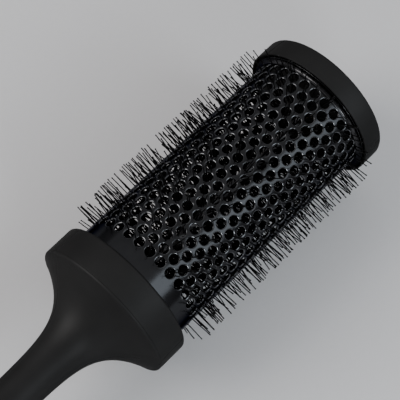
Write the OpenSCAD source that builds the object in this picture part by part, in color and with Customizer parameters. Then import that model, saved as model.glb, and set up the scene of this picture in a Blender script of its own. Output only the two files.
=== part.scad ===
// Round barrel brush: a vented tube barrel over a twisted-wire bristle core, with a soft-touch
// cap, collar and handle. It lies level on its bristle tips: +X runs along the barrel to the
// cap, +Z is up, and the origin is under the middle of the brush on the surface it lies on.
// Sizes are in millimetres. Stations along the axis are counted from the collar's front edge.

/* [Barrel] */
// Outside diameter of the barrel tube
barrel_d = 55; // [52:0.5:58]
// Wall of the barrel tube
barrel_wall = 1; // [0.8:0.1:1.4]
// Length of barrel seen between the collar and the cap
barrel_l = 109.5; // [105:0.5:116]
// Vent holes round each ring
holes_per_ring = 30; // [26:2:30]
// Rings of vent holes along the barrel
ring_count = 21; // [15:2:21]
// Diameter of a vent hole
hole_d = 4.1; // [3.5:0.1:4.3]
// Plain barrel between the collar and the first ring's hole centres
first_ring = 9.7; // [9:0.1:12]
// Plain barrel between the last ring's hole centres and the cap
last_ring = 4; // [4:0.5:6]
// Turn of the first hole from level, in degrees
hole_turn = 1; // [0:0.5:6]

/* [Bristles] */
// Diameter over the trimmed bristle tips
tips_d = 74; // [71:0.5:77]
// Diameter of one nylon bristle
bristle_d = 0.55; // [0.35:0.05:0.55]
// How unevenly the tips are trimmed
trim = 0.7; // [0:0.1:1.5]
// Seed of the bristles' scatter
scatter = 7; // [1:1:99]

/* [Collar and cap] */
// Diameter of the collar band
collar_d = 64.2; // [62:0.2:66]
// Width of the collar band
collar_w = 13.3; // [11:0.1:16]
// Diameter of the end cap
cap_d = 63.6; // [62:0.2:66]
// Width of the end cap
cap_w = 9.9; // [9:0.1:13]

/* [Handle] */
// Length of the handle behind the collar
handle_l = 132; // [120:1:145]
// Diameter of the neck
neck_d = 17.4; // [16:0.2:19]
// Diameter of the grip's fullest part
grip_d = 22; // [20:0.2:25]
// Length over which the bell falls from the collar to the neck
bell_l = 9.7; // [9:0.1:12]

/* [Hidden] */
barrel_r = barrel_d / 2;
bore_r = barrel_r - barrel_wall;
collar_r = collar_d / 2;
cap_r = cap_d / 2;
neck_r = neck_d / 2;
grip_r = grip_d / 2;
tip_r = tips_d / 2;
bristle_r = bristle_d / 2;
fit = 0.05;                                   // gap between pieces pressed together
ring_pitch = (barrel_l - first_ring - last_ring) / (ring_count - 1);
hole_step = 360 / holes_per_ring;

tuck_collar = 10;                             // barrel hidden in the collar
tuck_cap = 5;                                 // barrel hidden in the cap
cap_end = barrel_l + cap_w;                   // station of the cap's outer face
handle_end = -collar_w - handle_l;            // station of the butt
mid_station = (cap_end + handle_end) / 2;

strand_r = 1.15;                              // one of the two core wires
core_r = 2 * strand_r;                        // envelope of the twisted pair
core_lay = 14;                                // length of one full twist
root_r = core_r + 0.7;                        // where the bristles leave the core
core_start = -collar_w - 44;
core_end = barrel_l + 3;

round_edge = 1.2;                             // rounding of the collar's and cap's edges
rim_round = 1.2;                              // rounding of the bell's rim
bell_start = 0.5;                             // distance behind the collar where the bell sets in
bell_power = 1.1;                             // how sharply the bell turns into the neck
shell_wall = 1.4;
cap_lip = 0.75;                               // the cap's lip
ring_depth = 1.6;                             // seat of the flared ring in the cap
groove = 1.2;                                 // open groove between that ring and the lip
flare_l = 1.5;                                // barrel that the ring's flare covers
swell_start = 55;                             // where the grip starts to swell
swell_end = handle_l + 12;
core_wall = 1.4;
grip_start = 26;                              // the core is solid from here, behind the collar,
grip_stop = 34;                               // to here, and grips the wires
butt_l = 6;
step = 2;                                     // spacing of points along the handle

function bristle_name(column) = str("bristles_", column < 9 ? "0" : "", column + 1);

// Points on an arc, centre first, angles in degrees
function arc(x, y, r, from, to, n = 8) =
    [for (k = [0 : n]) let (a = from + (to - from) * k / n) [x + r * cos(a), y + r * sin(a)]];

// Outside radius of the handle at a distance behind the collar
function swell(s) =
    s < swell_start ? 0 : pow(sin(180 * (s - swell_start) / (swell_end - swell_start)), 2);
function bell(s) =
    (collar_r - neck_r) * exp(-pow(max(s - bell_start, 0) / bell_l, bell_power));
function handle_r(s) = neck_r + bell(s) + (grip_r - neck_r) * swell(s);
function shell_bore(s) = handle_r(s + 1.5) - shell_wall;
function core_skin(s) = min(barrel_r, shell_bore(s)) - fit;
function core_bore(s) = core_skin(s + 1.5) - core_wall;

// Puts a solid turned about Z onto the brush's axis, stations counted from the collar
module on_axis() {
    translate([-mid_station, 0, tip_r]) rotate([90, 0, 90]) children();
}

module turned(points) {
    on_axis() rotate_extrude($fn = 120) polygon(points);
}

module tube(outer, inner, from, to, sides = 96) {
    on_axis() translate([0, 0, from]) difference() {
        cylinder(r = outer, h = to - from, $fn = sides);
        translate([0, 0, -1]) cylinder(r = inner, h = to - from + 2, $fn = sides);
    }
}

// Angle of one hole, every second ring turned by half a step
function hole_angle(column, ring) = hole_turn + hole_step * (column + (ring % 2) / 2);
function ring_station(ring) = first_ring + ring * ring_pitch;

// The vented tube with its staggered holes
module barrel() color([0.16, 0.16, 0.18]) {
    on_axis() difference() {
        translate([0, 0, -tuck_collar])
            cylinder(r = barrel_r, h = barrel_l + tuck_collar + tuck_cap, $fn = 180);
        translate([0, 0, -tuck_collar - 1])
            cylinder(r = bore_r, h = barrel_l + tuck_collar + tuck_cap + 2, $fn = 180);
        for (ring = [0 : ring_count - 1], column = [0 : holes_per_ring - 1])
            rotate([0, 0, hole_angle(column, ring)])
                translate([barrel_r - barrel_wall / 2, 0, ring_station(ring)])
                    rotate([0, 90, 0])
                        cylinder(d = hole_d, h = 3 * barrel_wall, center = true, $fn = 24);
    }
}

// The band round the barrel's handle end, with a rounded front edge
module collar_ring() color([0.2, 0.2, 0.21]) {
    turned(concat(
        [[barrel_r + fit, -collar_w], [collar_r - 0.25, -collar_w], [collar_r, -collar_w + 0.25]],
        arc(collar_r - round_edge, -round_edge, round_edge, 0, 90),
        [[barrel_r + fit, 0]]
    ));
}

// The plug that centres the wire core in the barrel's handle end
module collar_plug() color([0.3, 0.3, 0.32]) {
    turned([
        [core_r + fit, -5], [6, -5], [6, -1.5], [bore_r - 2, -1.5], [bore_r - 2, -9],
        [bore_r - fit, -9], [bore_r - fit, 1], [core_r + fit, 1]
    ]);
}

// The soft-touch skin: a rounded rim, the bell, the neck and the grip
module handle_shell() color([0.2, 0.2, 0.21]) {
    skin_l = handle_l - butt_l;
    turned(concat(
        arc(collar_r - rim_round, -collar_w - fit, rim_round, 0, -60, 6),
        [for (s = [1.5 : 0.5 : 12]) [handle_r(s), -collar_w - s]],
        [for (s = [13 : step : skin_l]) [handle_r(s), -collar_w - s]],
        [[handle_r(skin_l), -collar_w - skin_l], [shell_bore(skin_l), -collar_w - skin_l]],
        [for (s = [skin_l - 1 : -step : 13]) [shell_bore(s), -collar_w - s]],
        [for (s = [12 : -1 : 0]) [shell_bore(s), -collar_w - s - (s == 0 ? fit : 0)]]
    ));
}

// The hard core inside the skin: a cup behind the barrel, solid round the wires, then a tube
module handle_core() color([0.32, 0.32, 0.34]) {
    core_l = handle_l - butt_l;
    front = -tuck_collar - fit;
    turned(concat(
        [[core_bore(0), front], [barrel_r - fit, front], [barrel_r - fit, -collar_w]],
        [for (s = [0 : 1 : 12]) [core_skin(s), -collar_w - s - (s == 0 ? fit : 0)]],
        [for (s = [13 : step : core_l]) [core_skin(s), -collar_w - s]],
        [[core_skin(core_l), -collar_w - core_l], [core_bore(core_l), -collar_w - core_l]],
        [for (s = [core_l - 1 : -step : grip_stop + 1]) [core_bore(s), -collar_w - s]],
        [[core_bore(grip_stop), -collar_w - grip_stop], [core_r + fit, -collar_w - grip_stop]],
        [[core_r + fit, -collar_w - grip_start], [core_bore(grip_start), -collar_w - grip_start]],
        [for (s = [grip_start - 1 : -1 : 0]) [core_bore(s), -collar_w - s]]
    ));
}

// The bush that steadies the wires' tail in the neck
module wire_socket() color([0.3, 0.3, 0.32]) {
    tube(core_bore(grip_stop + 14) - 2 * fit, core_r + fit, core_start + 0.5,
         -collar_w - grip_stop - fit);
}

// The domed stopper in the end of the grip, with its spigot
module butt_cap() color([0.16, 0.16, 0.17]) {
    face = handle_end + butt_l;
    dome_r = handle_r(handle_l - butt_l);
    spigot_r = core_bore(handle_l - butt_l) - fit;
    turned(concat(
        [[0, handle_end]],
        [for (a = [10 : 10 : 80]) [dome_r * sin(a), face - fit - (butt_l - fit) * cos(a)]],
        [[dome_r, face - fit], [spigot_r, face - fit], [spigot_r, face + 9], [0, face + 9]]
    ));
}

// The soft-touch cup over the barrel's free end
module end_cap() color([0.2, 0.2, 0.21]) {
    seat_r = cap_r - cap_lip;
    seat = barrel_l + ring_depth + fit;
    turned(concat(
        [[seat_r, barrel_l], [cap_r - 0.3, barrel_l], [cap_r, barrel_l + 0.3]],
        arc(cap_r - round_edge, cap_end - round_edge, round_edge, 0, 90),
        [[0, cap_end], [0, cap_end - 2.2], [barrel_r - 1, cap_end - 2.2],
         [barrel_r - 1, barrel_l + tuck_cap + fit], [barrel_r + fit, barrel_l + tuck_cap + fit],
         [barrel_r + fit, seat], [seat_r, seat]]
    ));
}

// The gloss ring that rises from the barrel to the cap in a hollow curve
module end_ring() color([0.05, 0.05, 0.05]) {
    inner = barrel_r + fit;
    edge = inner + 0.1;
    rim = cap_r - cap_lip - groove;
    turned(concat(
        [[inner, barrel_l + ring_depth], [inner, barrel_l - flare_l]],
        [for (a = [0 : 10 : 90])
            [edge + (rim - edge) * (1 - cos(a)), barrel_l - flare_l * (1 - sin(a))]],
        [[rim, barrel_l + ring_depth]]
    ));
}

// The plug that holds the wire core in the barrel's free end
module end_plug() color([0.3, 0.3, 0.32]) {
    back = barrel_l + tuck_cap - fit;
    turned([
        [core_r + 0.9, barrel_l - 0.5], [bore_r - fit, barrel_l - 0.5], [bore_r - fit, back],
        [bore_r - 2, back], [bore_r - 2, barrel_l + 1.5], [6, barrel_l + 1.5], [6, back],
        [0, back], [0, core_end + fit], [core_r + 0.9, core_end + fit]
    ]);
}

// The sleeve crimped on the wires' far end
module end_sleeve() color([0.72, 0.6, 0.35]) {
    tube(core_r + 0.85, core_r + fit, barrel_l - 0.5, core_end, 48);
}

// One wire of the twisted pair
module core_wire(turn) {
    on_axis() translate([0, 0, core_start])
        rotate([0, 0, turn])
            linear_extrude(
                height = core_end - core_start,
                twist = -360 * (core_end - core_start) / core_lay,
                slices = 12 * ceil((core_end - core_start) / core_lay)
            )
                translate([strand_r, 0]) circle(r = strand_r - fit / 2, $fn = 8);
}

module core_wire_a() color([0.75, 0.75, 0.77]) core_wire(0);
module core_wire_b() color([0.75, 0.75, 0.77]) core_wire(180);

// One straight bristle from a point beside the core to its trimmed tip
module bristle(root, tip) {
    run = tip - root;
    translate(root)
        rotate([0, acos(run.z / norm(run)), atan2(run.y, run.x)])
            cylinder(r = bristle_r, h = norm(run), $fn = 16);
}

// How many bristles come through a hole, from a random share between 0 and 1
function bristles_in_hole(share) = share < 0.12 ? 0 : share < 0.62 ? 1 : share < 0.92 ? 2 : 3;

// The bristles of one column of holes. They fan out so that none crosses its neighbour.
module bristle_row(column) color([0.08, 0.08, 0.08]) {
    per_hole = 16;
    luck = rands(-1, 1, ring_count * per_hole, scatter + column);
    reach = (tip_r - root_r) / (bore_r - root_r);
    on_axis() for (ring = [0 : ring_count - 1]) {
        first = ring * per_hole;
        count = bristles_in_hole(abs(luck[first]));
        angle = hole_angle(column, ring);
        station = ring_station(ring);
        lean = count > 1 ? 0.4 * luck[first + 5] : 0;
        spread = count == 2 ? 1.45 : 1;
        slack = count == 1 ? 1 : count == 2 ? 0.2 : 0.1;
        for (k = [0 : 1 : count - 1]) {
            place = k - (count - 1) / 2;
            dice = [for (d = [1 : 4]) luck[first + 5 * k + d]];
            root_z = station + spread * place * 1.5 + lean + dice[0] * 1.7 * slack;
            hole_z = station + spread * place * 1.2 + dice[1] * 1.1 * slack;
            turn = dice[2] * (count == 1 ? 2.4 : 1.7);
            end_r = tip_r - trim * pow(dice[3], 2);
            tip_z = root_z + (hole_z - root_z) * reach;
            bristle(
                [root_r * cos(angle), root_r * sin(angle), root_z],
                [end_r * cos(angle + turn), end_r * sin(angle + turn), tip_z]
            );
        }
    }
}

barrel();
collar_ring();
collar_plug();
handle_shell();
handle_core();
wire_socket();
butt_cap();
end_cap();
end_ring();
end_plug();
end_sleeve();
core_wire_a();
core_wire_b();
for (column = [0 : holes_per_ring - 1])
    bristle_row(column);
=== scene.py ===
"""Round barrel brush: the looks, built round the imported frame.

The brush lies level on its bristle tips with +X along the barrel towards the cap. Places come
from the frame's own boxes, and distances along the brush, called stations, are counted from
the collar's front edge. Everything is in metres.
"""
import math
import random

import bmesh
import bpy
import numpy as np
from mathutils import Matrix, Vector


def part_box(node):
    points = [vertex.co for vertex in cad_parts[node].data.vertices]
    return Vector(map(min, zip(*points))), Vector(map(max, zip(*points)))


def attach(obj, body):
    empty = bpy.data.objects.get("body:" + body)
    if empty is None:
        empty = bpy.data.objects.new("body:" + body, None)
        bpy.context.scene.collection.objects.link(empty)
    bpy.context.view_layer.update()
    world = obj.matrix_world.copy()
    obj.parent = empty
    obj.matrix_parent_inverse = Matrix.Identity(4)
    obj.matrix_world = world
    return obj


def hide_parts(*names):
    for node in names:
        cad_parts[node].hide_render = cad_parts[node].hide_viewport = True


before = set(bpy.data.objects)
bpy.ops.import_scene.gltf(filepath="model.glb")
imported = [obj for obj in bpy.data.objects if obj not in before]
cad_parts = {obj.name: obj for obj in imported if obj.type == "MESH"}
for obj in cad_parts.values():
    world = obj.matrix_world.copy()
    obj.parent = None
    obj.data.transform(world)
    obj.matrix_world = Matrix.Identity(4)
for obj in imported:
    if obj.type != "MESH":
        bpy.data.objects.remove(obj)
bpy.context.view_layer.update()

MM = 0.001


def box_corners(node):
    """The lowest and highest corners of a CAD node."""
    low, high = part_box(node)
    return Vector(low), Vector(high)


# ---------------------------------------------------------------- sizes from the frame
BARREL_LOW, BARREL_HIGH = box_corners("barrel")
RING_LOW, RING_HIGH = box_corners("collar_ring")
CAP_LOW, CAP_HIGH = box_corners("end_cap")
BUTT_LOW, BUTT_HIGH = box_corners("butt_cap")
SHELL_BACK = box_corners("handle_shell")[0].x
AXIS_Z = (BARREL_LOW.z + BARREL_HIGH.z) / 2
COLLAR_X = RING_HIGH.x
BARREL_R = (BARREL_HIGH.z - BARREL_LOW.z) / 2
COLLAR_R = (RING_HIGH.z - RING_LOW.z) / 2
COLLAR_W = RING_HIGH.x - RING_LOW.x
CAP_R = (CAP_HIGH.z - CAP_LOW.z) / 2
BARREL_START = BARREL_LOW.x - COLLAR_X
BARREL_SEEN = CAP_LOW.x - COLLAR_X
BARREL_STOP = BARREL_HIGH.x - COLLAR_X
CAP_END = CAP_HIGH.x - COLLAR_X
SHELL_L = RING_LOW.x - SHELL_BACK
HANDLE_L = RING_LOW.x - BUTT_LOW.x

# ---------------------------------------------------------------- sizes shared with the part
FIT = 0.05 * MM           # gap between pieces pressed together
WALL = 1.0 * MM           # of the barrel
HOLES_ROUND = 30
RINGS = 21                # of holes along the barrel
HOLE_R = 2.05 * MM
FIRST_RING = 9.7 * MM     # from the collar to the first ring's hole centres
LAST_RING = 4.0 * MM      # from the last ring's hole centres to the cap
HOLE_TURN = math.radians(1.0)       # the first hole's angle from level
RING_PITCH = (BARREL_SEEN - FIRST_RING - LAST_RING) / (RINGS - 1)
HOLE_STEP = 2 * math.pi / HOLES_ROUND
NECK_R = 8.7 * MM
GRIP_R = 11.0 * MM        # at the grip's fullest part
BELL_START = 0.5 * MM     # where the bell sets in, behind the collar
BELL_L = 9.7 * MM         # length over which it falls towards the neck
BELL_POWER = 1.1          # how sharply it turns into the neck
SWELL_START = 55 * MM     # where the grip starts to swell
SWELL_END = HANDLE_L + 12 * MM
SHELL_WALL = 1.4 * MM
BORE_LEAD = 1.5 * MM      # the skin's bore follows the outside shape from this much further back
RIM_ROUND = 1.2 * MM      # rounding of the bell's rim
EDGE_ROUND = 1.2 * MM     # rounding of the collar's and cap's edges
CAP_FACE = 2.2 * MM       # thickness of the cap's end
CAP_LIP = 0.75 * MM
RING_DEPTH = 1.6 * MM     # seat of the flared ring in the cap
GROOVE = 1.2 * MM         # open groove between that ring and the lip
FLARE_L = 1.5 * MM        # barrel that the ring's flare covers
STRAND_R = 1.15 * MM      # of one core wire, and of its helix
CORE_LAY = 14 * MM        # length of one full twist

# ---------------------------------------------------------------- sizes of the finer detail
EDGE_BREAK = 0.25 * MM    # the small rounding of a moulded edge
SEAM_BREAK = 0.22 * MM    # and of the collar's edge at the bell
BUTT_SPIGOT_R = 4.0 * MM
BELL_FROM = 1.5 * MM      # behind the collar, where the bell's curve takes over from its rim
BELL_STEP = 0.3 * MM      # spacing of the skin's mesh rings on the bell
GRIP_STEP = 1.0 * MM      # and on the grip
LATHE_SIDES = 224
WELD = 0.001 * MM         # points closer than this become one
SLIVER = 0.0001 * MM      # edges shorter than this are taken out


def place(station, radius, angle):
    """A point at a station along the brush, at a radius and at an angle from level."""
    return Vector((COLLAR_X + station, radius * math.cos(angle), AXIS_Z + radius * math.sin(angle)))


# ---------------------------------------------------------------- shader maths
MIX_SHARE, MIX_FIRST, MIX_SECOND = 0, 6, 7      # the Mix node's inputs for colours
MIX_COLOUR = 2                                  # and its output for them


class Value:
    """A number that varies over a surface. Arithmetic on it adds Math nodes to its paint."""

    def __init__(self, paint, socket):
        self.paint = paint
        self.socket = socket

    def _math(self, operation, *operands):
        return self.paint.node("ShaderNodeMath", {"operation": operation}, dict(enumerate(operands)))

    def __add__(self, other):
        return self._math("ADD", self, other)

    def __sub__(self, other):
        return self._math("SUBTRACT", self, other)

    def __rsub__(self, other):
        return self._math("SUBTRACT", other, self)

    def __mul__(self, other):
        return self._math("MULTIPLY", self, other)

    __radd__ = __add__
    __rmul__ = __mul__

    def clamped(self, low, high):
        """The value's stretch from low to high, spread over 0 to 1."""
        sockets = {"Value": self, "From Min": low, "From Max": high}
        return self.paint.node("ShaderNodeMapRange", {"clamp": True}, sockets)


class Paint:
    """A material with one Principled shader, and the nodes that vary it."""

    def __init__(self, name, **sockets):
        self.material = bpy.data.materials.new(name)
        self.material.use_nodes = True
        self.tree = self.material.node_tree
        self.shader = next(n for n in self.tree.nodes if n.type == "BSDF_PRINCIPLED")
        self.set(**sockets)

    def _feed(self, socket, value):
        if isinstance(value, Value):
            self.tree.links.new(value.socket, socket)
        else:
            socket.default_value = value

    def node(self, kind, settings=None, sockets=None, output=0):
        """Adds a node of any kind: its settings first, then its sockets' values or links."""
        added = self.tree.nodes.new(kind)
        for name, value in (settings or {}).items():
            setattr(added, name, value)
        for name, value in (sockets or {}).items():
            self._feed(added.inputs[name], value)
        return Value(self, added.outputs[output])

    def set(self, **sockets):
        """Sets sockets of the Principled shader, with spaces in their names as underscores."""
        for name, value in sockets.items():
            self._feed(self.shader.inputs[name.replace("_", " ")], value)

    def where(self):
        """Where a point of the surface is, in metres in the brush's own frame."""
        return self.node("ShaderNodeTexCoord", output="Object")

    def attribute(self, name):
        """A number stored at each point of the mesh."""
        return self.node("ShaderNodeAttribute", {"attribute_name": name}, output="Fac")

    def noise(self, scale, detail=3.0, stretch=(1, 1, 1)):
        """A cloudy value from 0 to 1, its grain about 1/scale metres."""
        stretched = self.node(
            "ShaderNodeMapping", {"vector_type": "POINT"}, {"Vector": self.where(), "Scale": stretch}
        )
        sockets = {"Vector": stretched, "Scale": scale, "Detail": detail}
        return self.node("ShaderNodeTexNoise", None, sockets)

    def blend(self, share, first, second):
        """A colour between two, by a value from 0 to 1."""
        sockets = {MIX_SHARE: share, MIX_FIRST: first, MIX_SECOND: second}
        return self.node("ShaderNodeMix", {"data_type": "RGBA"}, sockets, MIX_COLOUR)

    def bump(self, height, strength, distance):
        """Raises the surface by a height value, distance metres at most."""
        sockets = {"Height": height, "Strength": strength, "Distance": distance}
        self.set(Normal=self.node("ShaderNodeBump", None, sockets))


def grey(level):
    """A neutral colour."""
    return (level, level, level, 1.0)


# ---------------------------------------------------------------- finishes
def soft_touch_finish():
    """Black rubbery coating: wide soft highlights, a very fine grain and faint handling marks."""
    paint = Paint("soft_touch_black", IOR=1.09, Metallic=0.55, Specular_Tint=(0.35, 0.35, 0.35, 1))
    grain = paint.noise(2600, 4.0)
    cloud = paint.noise(45, 3.0)
    handling = paint.noise(160, 4.0, (0.35, 1, 1)).clamped(0.52, 0.72)
    paint.set(
        Base_Color=paint.blend(cloud.clamped(0.3, 0.7), grey(0.029), grey(0.036)),
        Roughness=0.47 + 0.08 * grain - 0.05 * handling,
    )
    paint.bump(grain, 0.25, 0.03 * MM)
    return paint.material


def barrel_finish():
    """Dark glossy ceramic over aluminium: mirror-like, with fine draw lines, faint haze and hole
    rims worn paler. Below the rims the hole walls and the tube's inside are painted near-black
    and dull, as painted shade. The depth is in millimetres under the outside surface."""
    paint = Paint("dark_ceramic_barrel", Metallic=1.0, Specular_Tint=(0.3, 0.3, 0.32, 1))
    depth = paint.attribute("depth")
    # painted shade: below the rims, the hole walls and the tube's inside turn near-black and dull
    inside = depth.clamped(0.16, 0.46)
    rim = depth.clamped(0.0, 0.05)
    draw = paint.noise(900, 3.0, (0.03, 1, 1))
    haze = paint.noise(90, 4.0)
    specks = paint.noise(1800, 2.0).clamped(0.62, 0.75)
    glaze = paint.blend(haze.clamped(0.35, 0.7), (0.034, 0.035, 0.037, 1), (0.044, 0.045, 0.048, 1))
    glaze = paint.blend(rim, glaze, (0.125, 0.128, 0.135, 1))
    wear = 0.04 * draw + 0.06 * haze.clamped(0.45, 0.75) + 0.04 * specks
    paint.set(
        # near-black inside the holes and the tube: painted shade
        Base_Color=paint.blend(inside, glaze, grey(0.006)),
        Roughness=0.15 + wear + 0.35 * inside,
    )
    paint.bump(draw, 0.08, 0.01 * MM)
    return paint.material


def bristle_finish():
    """Black nylon: threads each of their own shade of near-black, glossy where they stand outside
    the barrel, and inside it dull and painted darkest, as painted shade."""
    paint = Paint("black_nylon", IOR=1.53, Specular_IOR_Level=0.05, Coat_IOR=1.55, Coat_Roughness=0.16)
    shade = paint.attribute("shade")
    # outside: 0 where a thread is inside the barrel and painted as shade, 1 towards its glossy tip
    outside = paint.attribute("outside")
    along = paint.noise(400, 2.0)
    paint.set(
        # painted shade: the threads' parts inside the barrel are painted the darkest grey
        Base_Color=paint.blend(shade * outside, grey(0.002), grey(0.009)),
        Roughness=0.60 + 0.14 * shade + 0.08 * along - 0.36 * outside,
        Coat_Weight=outside * (0.38 - 0.3 * shade),
    )
    return paint.material


def gloss_finish():
    """Black gloss plastic of the flared ring between barrel and cap."""
    paint = Paint("black_gloss", Metallic=1.0, Specular_Tint=(0.3, 0.3, 0.32, 1))
    swirl = paint.noise(700, 3.0)
    paint.set(
        Base_Color=paint.blend(swirl.clamped(0.4, 0.7), (0.05, 0.05, 0.052, 1), (0.06, 0.06, 0.063, 1)),
        Roughness=0.14 + 0.10 * swirl,
    )
    return paint.material


def moulded_finish():
    """Satin black plastic of the butt, the plugs, the socket and the handle's hard core."""
    paint = Paint("satin_black_plastic", IOR=1.5)
    texture = paint.noise(1500, 3.0)
    paint.set(
        Base_Color=paint.blend(texture, grey(0.012), grey(0.022)),
        Roughness=0.36 + 0.14 * texture,
    )
    paint.bump(texture, 0.2, 0.03 * MM)
    return paint.material


def wire_finish():
    """Dull drawn steel wire with lengthwise draw marks and a little oil stain."""
    paint = Paint("drawn_steel_wire", Metallic=1.0)
    draw = paint.noise(1600, 3.0, (0.15, 1, 1))
    stain = paint.noise(200, 3.0)
    paint.set(
        Base_Color=paint.blend(stain.clamped(0.35, 0.75), (0.24, 0.24, 0.25, 1), (0.15, 0.145, 0.14, 1)),
        Roughness=0.38 + 0.18 * draw,
    )
    return paint.material


def brass_finish():
    """Turned brass of the sleeve on the wires' far end."""
    paint = Paint("turned_brass", Metallic=1.0)
    turning = paint.noise(2200, 2.0, (1, 0.1, 0.1))
    tarnish = paint.noise(260, 4.0)
    paint.set(
        Base_Color=paint.blend(tarnish.clamped(0.4, 0.75), (0.80, 0.60, 0.28, 1), (0.50, 0.36, 0.17, 1)),
        Roughness=0.22 + 0.16 * turning,
    )
    return paint.material


# ---------------------------------------------------------------- mesh helpers
def new_piece(name, points, faces, material, nodes):
    """A mesh object that rides on the brush and stands for the given CAD nodes."""
    mesh = bpy.data.meshes.new(name)
    mesh.from_pydata([tuple(p) for p in points], [], faces)
    mesh.materials.append(material)
    piece = bpy.data.objects.new(name, mesh)
    bpy.context.scene.collection.objects.link(piece)
    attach(piece, "root")
    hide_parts(*nodes)
    return piece


def store(piece, name, values):
    """Keeps a number at each point of a mesh, for its paint to read."""
    piece.data.attributes.new(name, "FLOAT", "POINT").data.foreach_set("value", values)


def smooth(piece, crease=50):
    """Smooth shading, with edges sharper than the crease angle kept crisp."""
    mesh = piece.data
    mesh.shade_smooth()
    mesh.set_sharp_from_angle(angle=math.radians(crease))


def arc(station, radius, bend, start, stop, steps=10):
    """Profile points round a corner, angles in degrees from the direction towards the cap."""
    angles = [math.radians(start + (stop - start) * k / steps) for k in range(steps + 1)]
    return [(station + bend * math.cos(a), radius + bend * math.sin(a)) for a in angles]


def face_outwards(piece, weld=False):
    """Turns a piece's faces outwards. With weld, points that meet become one first."""
    skin = bmesh.new()
    skin.from_mesh(piece.data)
    if weld:
        bmesh.ops.remove_doubles(skin, verts=skin.verts, dist=WELD)
        bmesh.ops.dissolve_degenerate(skin, dist=SLIVER, edges=skin.edges)
    bmesh.ops.recalc_face_normals(skin, faces=skin.faces)
    skin.to_mesh(piece.data)
    skin.free()


def lathe(name, profile, material, nodes, closed=True):
    """Turns a profile of (station, radius) points round the brush's axis. A profile that starts
    and ends on the axis is not closed."""
    count = len(profile)
    points, faces = [], []
    for k in range(LATHE_SIDES):
        turn = 2 * math.pi * k / LATHE_SIDES
        points += [place(station, radius, turn) for station, radius in profile]
    for k in range(LATHE_SIDES):
        here, there = k * count, (k + 1) % LATHE_SIDES * count
        for i in range(count if closed else count - 1):
            after = (i + 1) % count
            faces.append((here + i, here + after, there + after, there + i))
    piece = new_piece(name, points, faces, material, nodes)
    face_outwards(piece, weld=True)
    smooth(piece)


def tube_faces(sides, rings, base=0):
    """Faces of a tube with closed ends, whose points from base on are rings of so many sides."""
    faces = []
    for ring in range(rings - 1):
        here = base + ring * sides
        for k in range(sides):
            after = (k + 1) % sides
            faces.append((here + k, here + after, here + sides + after, here + sides + k))
    last = base + (rings - 1) * sides
    faces.append(tuple(base + k for k in reversed(range(sides))))
    faces.append(tuple(last + k for k in range(sides)))
    return faces


# ---------------------------------------------------------------- the barrel
RIM_PROFILE = [           # a hole's rolled edge: mm outside the hole, mm deep, lean in degrees
    (0.50, 0.0, 0), (0.44, 0.007, 14), (0.30, 0.055, 24), (0.14, 0.137, 31), (0.05, 0.215, 54),
    (0.0, 0.36, 90),
]
INNER_RIM = 0.10 * MM
EDGE_STEPS = 4            # mesh steps along one side of a hole's six-sided cell
END_CELL = 2.9 * MM       # the first and last rings' cells end in a straight line this far out
SHARED_DIGITS = 4         # two points are one if their lengths agree to these decimals of a mm
SHARED_TICKS = 100000     # and their angles to this part of the angle between holes


def hole_angle(column, ring):
    """The angle of a hole. Every second ring is turned by half the spacing."""
    return HOLE_TURN + HOLE_STEP * (column + (ring % 2) / 2)


def cell_border(ring):
    """Points round a hole's cell as (along, turn), the same for the cells that share a side."""
    half_turn = HOLE_STEP / 2
    across = half_turn * BARREL_R
    peak = RING_PITCH / 2 + across ** 2 / (2 * RING_PITCH)
    shoulder = RING_PITCH - peak
    fore = [(peak, 0.0), (shoulder, half_turn)]
    aft = [(-shoulder, half_turn), (-peak, 0.0), (-shoulder, -half_turn)]
    if ring == 0:
        aft = [(-END_CELL, half_turn), (-END_CELL, 0.0), (-END_CELL, -half_turn)]
    if ring == RINGS - 1:
        fore = [(END_CELL, 0.0), (END_CELL, half_turn)]
    corners = fore + aft + [(fore[1][0], -half_turn)]
    border = []
    for (along, turn), (next_along, next_turn) in zip(corners, corners[1:] + corners[:1]):
        for share in (k / EDGE_STEPS for k in range(EDGE_STEPS)):
            border.append((along + (next_along - along) * share, turn + (next_turn - turn) * share))
    return border


class BarrelSkin:
    """Collects the barrel's points, welding those that cells share, with a true normal each."""

    def __init__(self):
        self.points, self.normals, self.depths, self.faces = [], [], [], []
        self.known = {}

    def point(self, station, angle, depth, tilt=0.0, towards=(0.0, 0.0)):
        """A point below the outside surface. Its normal leans by tilt from outwards, towards a
        direction (along, round) on the surface."""
        angle = angle % (2 * math.pi)
        tick = round(angle / HOLE_STEP * SHARED_TICKS) % (HOLES_ROUND * SHARED_TICKS)
        key = (round(station / MM, SHARED_DIGITS), tick, round(depth / MM, SHARED_DIGITS))
        if key not in self.known:
            self.known[key] = len(self.points)
            self.points.append(place(station, BARREL_R - depth, angle))
            self.depths.append(depth)
            outwards = Vector((0, math.cos(angle), math.sin(angle)))
            round_way = Vector((0, -math.sin(angle), math.cos(angle)))
            lean = Vector((towards[0], 0, 0)) + towards[1] * round_way
            self.normals.append(math.cos(tilt) * outwards + math.sin(tilt) * lean)
        return self.known[key]

    def strip(self, outer, inner):
        """Faces between two closed loops of equal length."""
        count = len(outer)
        for k in range(count):
            after = (k + 1) % count
            self.faces.append((outer[k], outer[after], inner[after], inner[k]))


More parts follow.
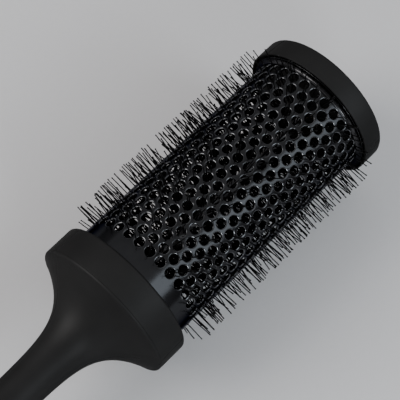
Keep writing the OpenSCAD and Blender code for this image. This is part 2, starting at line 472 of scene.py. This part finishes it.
def hole_cell(skin, ring, column, border):
    """One hole: the flat web of its cell, the rolled rim, the wall and the inside edge."""
    station = FIRST_RING + ring * RING_PITCH
    angle = hole_angle(column, ring)
    turns = [2 * math.pi * k / len(border) for k in range(len(border))]

    def edge(depth, tilt):
        return [skin.point(station + along, angle + turn, depth, tilt) for along, turn in border]

    def loop(radius, depth, tilt):
        points = []
        for turn in turns:
            along, sideways = math.cos(turn), math.sin(turn)
            points.append(skin.point(
                station + radius * along, angle + radius * sideways / BARREL_R,
                depth, tilt, (-along, -sideways),
            ))
        return points

    loops = [edge(0, 0.0)]
    loops += [loop(HOLE_R + out * MM, depth * MM, math.radians(lean)) for out, depth, lean in RIM_PROFILE]
    loops.append(loop(HOLE_R, WALL - INNER_RIM, math.pi / 2))
    loops.append(loop(HOLE_R + INNER_RIM, WALL, math.pi))
    loops.append(edge(WALL, math.pi))
    for outer, inner in zip(loops, loops[1:]):
        skin.strip(outer, inner)


def round_angles():
    """Angles of the points round the plain parts of the barrel, in step with the end cells."""
    steps = 2 * EDGE_STEPS * HOLES_ROUND
    return [hole_angle(0, 0) + 2 * math.pi * k / steps for k in range(steps)]


def outer_ring(skin, station):
    """Points round the outside of a plain part of the barrel."""
    return [skin.point(station, angle, 0.0) for angle in round_angles()]


def inner_ring(skin, station):
    """Points round the inside of a plain part of the barrel."""
    return [skin.point(station, angle, WALL, math.pi) for angle in round_angles()]


def plain_band(skin, near, far):
    """Barrel without holes between two stations."""
    skin.strip(outer_ring(skin, far), outer_ring(skin, near))
    skin.strip(inner_ring(skin, near), inner_ring(skin, far))


def barrel_end(skin, station):
    """Closes the tube's end between its outside and inside."""
    skin.strip(outer_ring(skin, station), inner_ring(skin, station))


def build_barrel(material):
    """The vented tube, from its start in the collar to its stop in the cap."""
    skin = BarrelSkin()
    for ring in range(RINGS):
        border = cell_border(ring)
        for column in range(HOLES_ROUND):
            hole_cell(skin, ring, column, border)
    holes_start = FIRST_RING - END_CELL
    holes_stop = FIRST_RING + (RINGS - 1) * RING_PITCH + END_CELL
    plain_band(skin, BARREL_START, 0.0)
    plain_band(skin, 0.0, holes_start)
    plain_band(skin, holes_stop, BARREL_SEEN)
    plain_band(skin, BARREL_SEEN, BARREL_STOP)
    barrel_end(skin, BARREL_START)
    barrel_end(skin, BARREL_STOP)
    piece = new_piece("barrel_tube", skin.points, skin.faces, material, ["barrel"])
    store(piece, "depth", [depth / MM for depth in skin.depths])
    face_outwards(piece)
    piece.data.shade_smooth()
    piece.data.normals_split_custom_set_from_vertices([tuple(n.normalized()) for n in skin.normals])


# ---------------------------------------------------------------- collar, handle and cap
def bell_radius(behind):
    """Outside radius of the handle at a distance behind the collar."""
    fall = math.exp(-((max(behind - BELL_START, 0) / BELL_L) ** BELL_POWER))
    swell = 0.0
    if behind > SWELL_START:
        swell = math.sin(math.pi * (behind - SWELL_START) / (SWELL_END - SWELL_START)) ** 2
    return NECK_R + (COLLAR_R - NECK_R) * fall + (GRIP_R - NECK_R) * swell


def build_collar(material):
    """The band round the barrel's start, its back edge barely rounded where it meets the bell."""
    bore = BARREL_R + FIT
    profile = [(-COLLAR_W, bore), (-COLLAR_W, COLLAR_R - SEAM_BREAK)]
    profile += arc(-COLLAR_W + SEAM_BREAK, COLLAR_R - SEAM_BREAK, SEAM_BREAK, 180, 90, 4)
    profile += arc(-EDGE_ROUND, COLLAR_R - EDGE_ROUND, EDGE_ROUND, 90, 0, 12)
    profile += [(0.0, bore + EDGE_BREAK), (-EDGE_BREAK, bore)]
    lathe("collar_band", profile, material, ["collar_ring"])


def build_handle(material):
    """The soft skin: a rounded rim at the band, the bell, the neck and the grip's slow swell. The
    rings of its mesh stand close on the bell and wider apart on the grip."""
    bell = [BELL_FROM + k * BELL_STEP for k in range(60)]
    grip = [bell[-1] + k * GRIP_STEP for k in range(1, 200)]
    outside = [behind for behind in bell + grip if behind < SHELL_L - BELL_STEP] + [SHELL_L]
    inside = [SHELL_L] + outside[-2::-2] + [0.0]
    start = -COLLAR_W - FIT
    profile = arc(start, COLLAR_R - RIM_ROUND, RIM_ROUND, 90, 150)
    profile += [(-COLLAR_W - behind, bell_radius(behind)) for behind in outside]
    profile += [
        (min(start, -COLLAR_W - behind), bell_radius(behind + BORE_LEAD) - SHELL_WALL)
        for behind in inside
    ]
    lathe("handle_skin", profile, material, ["handle_shell"])


def build_butt(material):
    """The domed stopper in the grip's end, with a fine seam round it and a spigot inside."""
    face = SHELL_BACK - COLLAR_X - FIT
    spigot_end = BUTT_HIGH.x - COLLAR_X
    dome_l = SHELL_BACK - BUTT_LOW.x - FIT
    dome_r = bell_radius(SHELL_L)
    profile = [
        (face - dome_l * math.cos(turn), dome_r * math.sin(turn))
        for turn in (math.radians(4.5 * k) for k in range(20))
    ]
    profile += [(face - EDGE_BREAK / 2, dome_r), (face, dome_r - EDGE_BREAK)]
    profile += [(face, BUTT_SPIGOT_R), (spigot_end, BUTT_SPIGOT_R), (spigot_end, 0.0)]
    lathe("butt_stopper", profile, material, ["butt_cap"], closed=False)


def build_cap(material):
    """The cap: a cup over the barrel's stop, with a seat for the flared ring behind its lip. Two
    rings of points across its face keep the face's shading flat."""
    rim = CAP_R - CAP_LIP
    profile = [(BARREL_SEEN, rim)]
    profile += arc(BARREL_SEEN + EDGE_BREAK, CAP_R - EDGE_BREAK, EDGE_BREAK, 180, 90, 4)
    profile += arc(CAP_END - EDGE_ROUND, CAP_R - EDGE_ROUND, EDGE_ROUND, 90, 0, 12)
    profile += [(CAP_END, share * CAP_R) for share in (0.8, 0.4, 0.0)]
    floor, stop, bore = CAP_END - CAP_FACE, BARREL_STOP + FIT, BARREL_R - WALL
    profile += [(floor, 0.0), (floor, bore), (stop, bore)]
    seat = BARREL_SEEN + RING_DEPTH + FIT
    profile += [(stop, BARREL_R + FIT), (seat, BARREL_R + FIT), (seat, rim)]
    lathe("cap_cup", profile, material, ["end_cap"])


def build_end_ring(material):
    """The flared ring: it rises from the barrel in a hollow curve, with a groove left at the lip."""
    inside, outside = BARREL_R + FIT, CAP_R - CAP_LIP - GROOVE
    start, back = BARREL_SEEN - FLARE_L, BARREL_SEEN + RING_DEPTH
    foot, lip_round = 0.06 * MM, 0.2 * MM       # the flare's thin edge, and its rounded lip
    rise = outside - inside - 0.3 * MM          # the hollow curve ends a little under the lip
    profile = [(back, inside), (start, inside)]
    profile += [
        (start + FLARE_L * math.sin(turn), inside + foot + rise * (1 - math.cos(turn)))
        for turn in (math.radians(9 * k) for k in range(11))
    ]
    profile += arc(BARREL_SEEN + lip_round, outside - lip_round, lip_round, 180, 90, 5)
    profile.append((back, outside))
    lathe("flared_end_ring", profile, material, ["end_ring"])


# ---------------------------------------------------------------- the wire core
STRAND_SIDES = 14
STRAND_STEP = 0.5 * MM    # mesh steps along a wire
STRAND_SLACK = 0.97       # a wire's share of its room, so that the pair doesn't touch


def build_strand(node, turn, material):
    """One steel wire of the twisted pair, as a tube along its helix."""
    low, high = box_corners(node)
    run = high.x - low.x
    steps = int(run / STRAND_STEP)
    lean = math.atan2(2 * math.pi * STRAND_R, CORE_LAY)
    points = []
    for step in range(steps + 1):
        along = run * step / steps
        angle = turn + 2 * math.pi * along / CORE_LAY
        out = Vector((0, math.cos(angle), math.sin(angle)))
        round_way = Vector((0, -math.sin(angle), math.cos(angle)))
        side = Vector((-math.sin(lean), 0, 0)) + math.cos(lean) * round_way
        centre = Vector((low.x + along, 0, AXIS_Z)) + STRAND_R * out
        for k in range(STRAND_SIDES):
            a = 2 * math.pi * k / STRAND_SIDES
            points.append(centre + STRAND_SLACK * STRAND_R * (math.cos(a) * out + math.sin(a) * side))
    faces = tube_faces(STRAND_SIDES, steps + 1)
    piece = new_piece(node + "_drawn", points, faces, material, [node])
    face_outwards(piece, weld=True)
    smooth(piece)


# ---------------------------------------------------------------- the bristles
BRISTLE_SIDES = 8
BRISTLE_R = 0.275 * MM
THINNEST = 0.9            # the thinnest thread's share of that radius
BRISTLE_TAPER = 0.12      # share of its thickness that a thread loses from root to tip
BOW_OVER = 0.35 * MM      # spread of the tips' bow along the barrel
BOW_ACROSS = 0.30 * MM    # and round it
BRISTLE_PROFILE = (       # share of the length, share of the radius: a plain thread, a rounded tip
    (0.0, 1.0), (0.35, 1.0), (0.62, 1.0), (0.76, 1.0), (0.86, 1.0), (0.94, 1.0), (0.978, 1.0),
    (0.985, 1.22), (0.992, 1.3), (0.9975, 0.95), (1.0, 0.4),
)
INSIDE_SHARE = 0.70       # share of a thread that is inside the barrel, about, dull and painted darker as shade
GLOSS_RUN = 0.28          # share over which the gloss, and the colour out of the painted shade, comes in


def bristle_ends(node):
    """The root and tip of each bristle of a CAD row, read from the row's separate solids."""
    solid = bmesh.new()
    solid.from_mesh(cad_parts[node].data)
    bmesh.ops.remove_doubles(solid, verts=solid.verts, dist=2 * WELD)
    unseen = set(solid.verts)
    ends = []
    while unseen:
        island, edge = [], [unseen.pop()]
        while edge:
            vert = edge.pop()
            island.append(vert)
            for link in vert.link_edges:
                other = link.other_vert(vert)
                if other in unseen:
                    unseen.discard(other)
                    edge.append(other)
        points = np.array([vert.co[:] for vert in island])
        distance = np.hypot(points[:, 1], points[:, 2] - AXIS_Z)
        middle = (distance.min() + distance.max()) / 2
        root, tip = points[distance < middle].mean(axis=0), points[distance >= middle].mean(axis=0)
        ends.append((Vector(root), Vector(tip)))
    solid.free()
    return sorted(ends, key=lambda pair: tuple(pair[1]))


def bristle_mesh(ends, chance, points, faces, shades, outside):
    """Adds one bristle: a thin tapering thread with a slight bow and a rounded tip."""
    root, tip = ends
    run = tip - root
    length = run.length
    forward = run.normalized()
    across = forward.cross(Vector((1, 0, 0))).normalized()
    over = across.cross(forward).normalized()
    bow = chance.gauss(0, BOW_OVER) * over + chance.gauss(0, BOW_ACROSS) * across
    thickness = BRISTLE_R * chance.uniform(THINNEST, 1.0)
    shade = chance.random()
    faces += tube_faces(BRISTLE_SIDES, len(BRISTLE_PROFILE), len(points))
    for share, swell in BRISTLE_PROFILE:
        radius = thickness * (1 - BRISTLE_TAPER * share) * swell
        centre = root + forward * (length * share) + bow * share ** 4
        # 0 inside the barrel, where the thread is painted darkest as painted shade, rising to 1 towards the
        # glossy tip
        gloss_out_of_painted_shade = min(1.0, max(0.0, (share - INSIDE_SHARE) / GLOSS_RUN)) ** 2
        for k in range(BRISTLE_SIDES):
            a = 2 * math.pi * k / BRISTLE_SIDES
            points.append(centre + radius * (math.cos(a) * across + math.sin(a) * over))
        shades += [shade] * BRISTLE_SIDES
        outside += [gloss_out_of_painted_shade] * BRISTLE_SIDES


def build_bristle_row(node, material):
    """The threads of one CAD row. The row's name seeds their bows, thicknesses and shades."""
    chance = random.Random(node)
    points, faces, shades, outside = [], [], [], []
    for ends in bristle_ends(node):
        bristle_mesh(ends, chance, points, faces, shades, outside)
    piece = new_piece(node + "_threads", points, faces, material, [node])
    store(piece, "shade", shades)
    # each point's share out of the painted shade inside the barrel, and of the tips' gloss
    store(piece, "outside", outside)
    smooth(piece, crease=60)


# ---------------------------------------------------------------- pieces kept from the frame
def dress(node, material):
    """Gives a CAD node's object its finish."""
    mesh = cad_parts[node].data
    mesh.materials.clear()
    mesh.materials.append(material)


# ---------------------------------------------------------------- studio
def floor_finish():
    """Plain pale studio board with a barely visible tooth."""
    paint = Paint("pale_board")
    tooth = paint.noise(350, 3.0)
    paint.set(
        Base_Color=paint.blend(tooth, (0.87, 0.87, 0.88, 1), (0.90, 0.90, 0.91, 1)),
        Roughness=0.7 + 0.1 * tooth,
    )
    return paint.material


def build_floor():
    """The square board that the brush lies on."""
    half = 3.0
    mesh = bpy.data.meshes.new("studio_board")
    rim = [(-half, -half, 0), (half, -half, 0), (half, half, 0), (-half, half, 0)]
    mesh.from_pydata(rim, [], [(0, 1, 2, 3)])
    mesh.materials.append(floor_finish())
    board = bpy.data.objects.new("studio_board", mesh)
    bpy.context.scene.collection.objects.link(board)


def soft_light(name, towards, distance, size, power, tint=(1, 1, 1)):
    """A rectangular soft light at a distance from the barrel's middle, aimed at it."""
    middle = place(BARREL_SEEN / 2, 0, 0)
    lamp = bpy.data.lights.new(name, "AREA")
    lamp.shape = "RECTANGLE"
    lamp.size, lamp.size_y = size
    lamp.energy = power
    lamp.color = tint
    light = bpy.data.objects.new(name, lamp)
    light.location = middle + Vector(towards).normalized() * distance
    aim = (middle - light.location).normalized()
    side = (Vector((1, 0, 0)) - aim.x * aim).normalized()
    up = aim.cross(side)
    light.matrix_world = Matrix.Translation(light.location) @ Matrix((side, up, -aim)).transposed().to_4x4()
    bpy.context.scene.collection.objects.link(light)


def build_lights():
    """A wide softbox overhead, two small ones for the strip and the rims, and a warm key."""
    soft_light("overhead_softbox", (0.35, 0.19, 0.92), 1.4, (1.6, 3.6), 5.6)
    soft_light("strip_softbox", (0.32, -0.78, 0.62), 0.9, (0.45, 0.48), 1.9, (0.86, 0.94, 1.0))
    soft_light("rim_softbox", (-0.42, -0.74, 0.50), 0.9, (0.20, 0.20), 1.6, (0.93, 0.97, 1.0))
    soft_light("key_softbox", (-0.60, 0.55, 0.60), 1.3, (0.8, 0.8), 9, (1.0, 0.97, 0.95))


def build_world():
    """The room's faint, slightly cool fill."""
    world = bpy.data.worlds.new("studio")
    world.use_nodes = True
    background = world.node_tree.nodes["Background"]
    background.inputs["Color"].default_value = (0.97, 0.96, 1.0, 1)
    background.inputs["Strength"].default_value = 0.22
    bpy.context.scene.world = world


def build_camera():
    """Looks down on the brush from beside the handle, the barrel running away up and right."""
    aim = place(48.25 * MM, 5.2 * MM, 0)
    heading, elevation, roll = math.radians(38.12), math.radians(65.9), math.radians(5.55)
    distance = 568.5 * MM
    level = Vector((math.cos(heading), math.sin(heading), 0))
    forward = math.cos(elevation) * level - math.sin(elevation) * Vector((0, 0, 1))
    right = forward.cross(Vector((0, 0, 1))).normalized()
    up = right.cross(forward)
    rolled_right = math.cos(roll) * right + math.sin(roll) * up
    rolled_up = math.cos(roll) * up - math.sin(roll) * right
    lens = bpy.data.cameras.new("camera")
    lens.lens = 124.75
    lens.sensor_width = 36
    lens.clip_start = 0.01
    camera = bpy.data.objects.new("camera", lens)
    turn = Matrix((rolled_right, rolled_up, -forward)).transposed().to_4x4()
    camera.matrix_world = Matrix.Translation(aim - forward * distance) @ turn
    bpy.context.scene.collection.objects.link(camera)
    bpy.context.scene.camera = camera


# ---------------------------------------------------------------- putting it together
def build_brush():
    """Every piece of the brush, each in its finish."""
    soft_touch, moulded = soft_touch_finish(), moulded_finish()
    steel, brass, nylon = wire_finish(), brass_finish(), bristle_finish()
    build_barrel(barrel_finish())
    build_collar(soft_touch)
    build_handle(soft_touch)
    build_butt(moulded)
    build_cap(soft_touch)
    build_end_ring(gloss_finish())
    build_strand("core_wire_a", 0.0, steel)
    build_strand("core_wire_b", math.pi, steel)
    for column in range(HOLES_ROUND):
        build_bristle_row(f"bristles_{column + 1:02d}", nylon)
    for node in ("collar_plug", "end_plug", "handle_core", "wire_socket"):
        dress(node, moulded)
    dress("end_sleeve", brass)


build_camera()
build_lights()
build_world()
build_floor()
build_brush()
